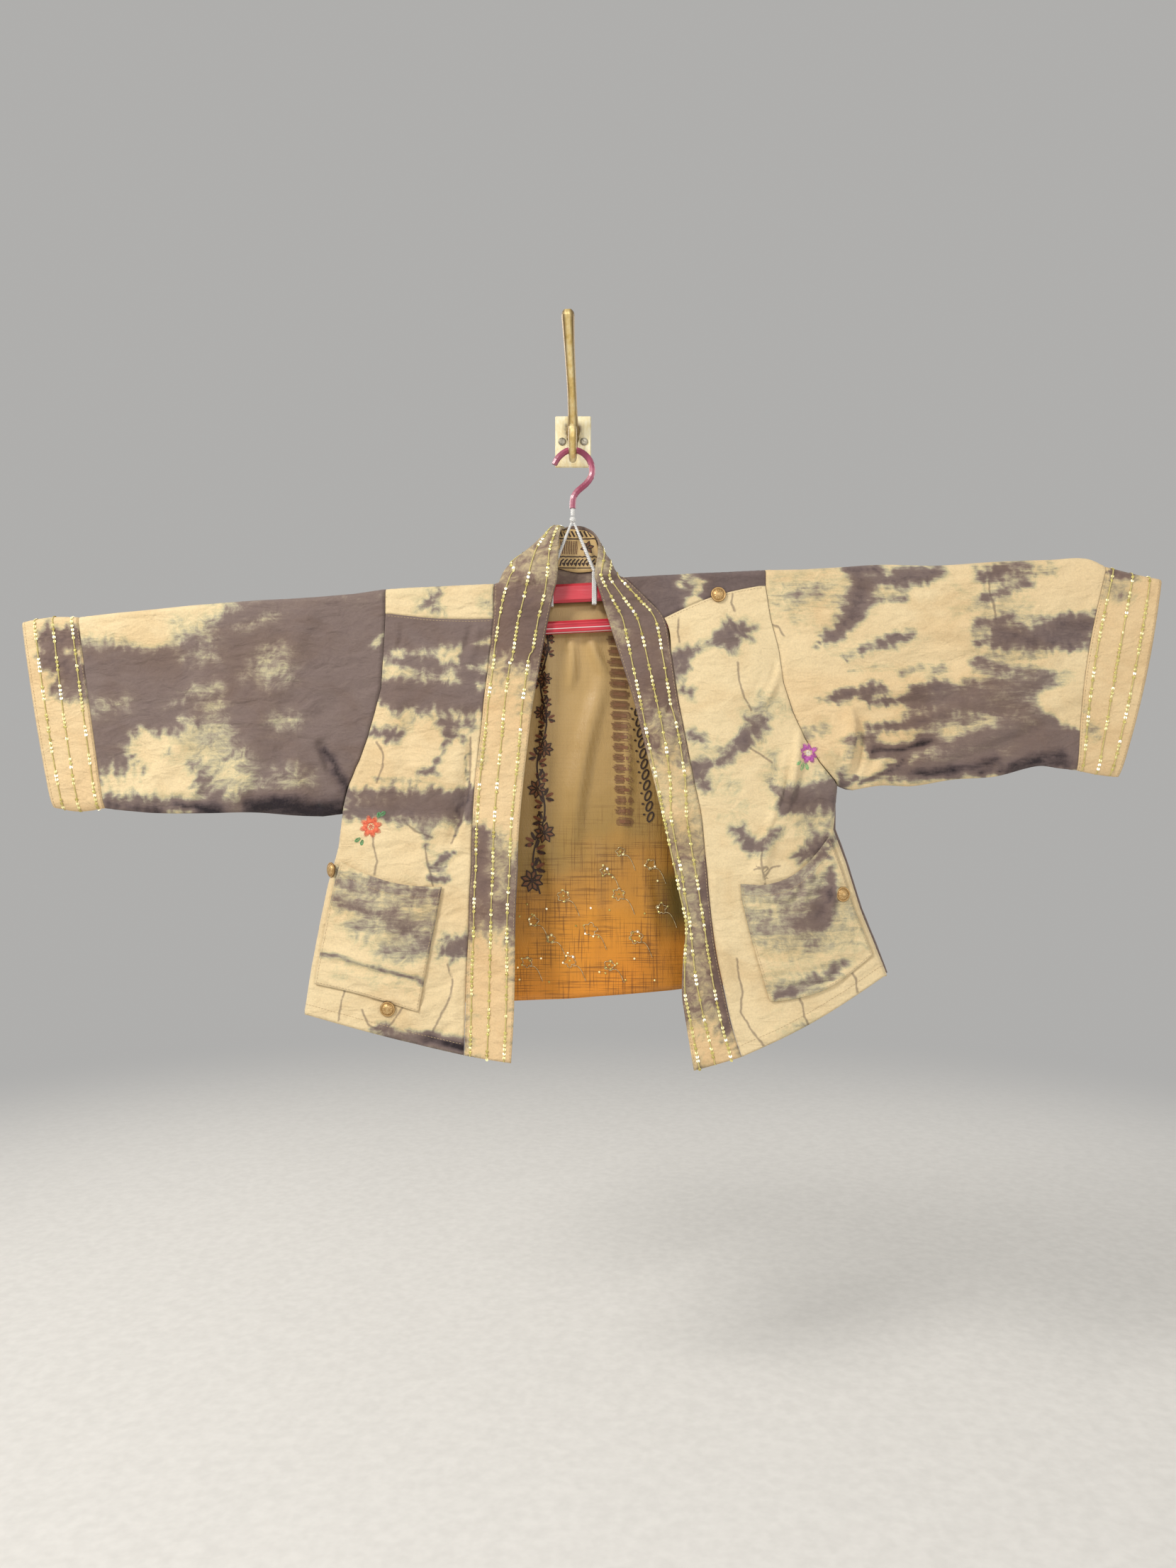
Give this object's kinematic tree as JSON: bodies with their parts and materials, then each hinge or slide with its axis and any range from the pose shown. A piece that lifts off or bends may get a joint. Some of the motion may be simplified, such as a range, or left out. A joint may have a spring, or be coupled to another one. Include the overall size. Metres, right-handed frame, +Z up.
{
  "type": "short kimono on a bar hanger and wall hook",
  "caption": "Short open kimono jacket with wide straight sleeves, turned cuffs, a long neckband and patch pockets, spread on a bar hanger from a wall hook.",
  "frame": {"origin": "middle of the wall plate's back face, on the wall", "axes": "+X to the viewer's right along the sleeves, +Y into the wall, +Z up; the open fronts face -Y"},
  "size_m": [1.418, 0.097, 0.9209],
  "materials": {
    "tie_dyed_cloth": "soft matt crepe, dyed in clouded patches",
    "printed_lining": "satin with a printed floral ground",
    "bronze": "aged bronze",
    "red_plastic": "gloss",
    "burgundy_tube": "satin plastic sleeve over steel wire",
    "white_cord": "satin",
    "brass": "polished, slightly aged"
  },
  "bodies": {
    "root": {"front_left": "tie_dyed_cloth", "front_right": "tie_dyed_cloth", "yoke_left": "tie_dyed_cloth", "yoke_right": "tie_dyed_cloth", "back_panel": "tie_dyed_cloth", "neckband": "tie_dyed_cloth", "sleeve_left": "tie_dyed_cloth", "sleeve_right": "tie_dyed_cloth", "cuff_left": "tie_dyed_cloth", "cuff_right": "tie_dyed_cloth", "pocket_left": "tie_dyed_cloth", "pocket_right": "tie_dyed_cloth", "back_lining": "printed_lining", "neck_lining": "printed_lining", "button_yoke": "bronze", "button_pocket_right": "bronze", "button_pocket_left": "bronze", "button_side": "bronze", "hanger_bar": "red_plastic", "hanger_rail": "red_plastic", "hanger_link_left": "red_plastic", "hanger_link_right": "red_plastic", "hanger_arm_left": "red_plastic", "hanger_arm_right": "red_plastic", "hanger_hook": "burgundy_tube", "hanger_stem": "white_cord", "hanger_knot": "white_cord", "hanger_leg_left": "white_cord", "hanger_leg_right": "white_cord", "hanger_clip_left": "white_cord", "hanger_clip_right": "white_cord", "wall_plate": "brass", "wall_hook": "brass", "wall_screw_left": "brass", "wall_screw_right": "brass"}
  },
  "joints": []
}
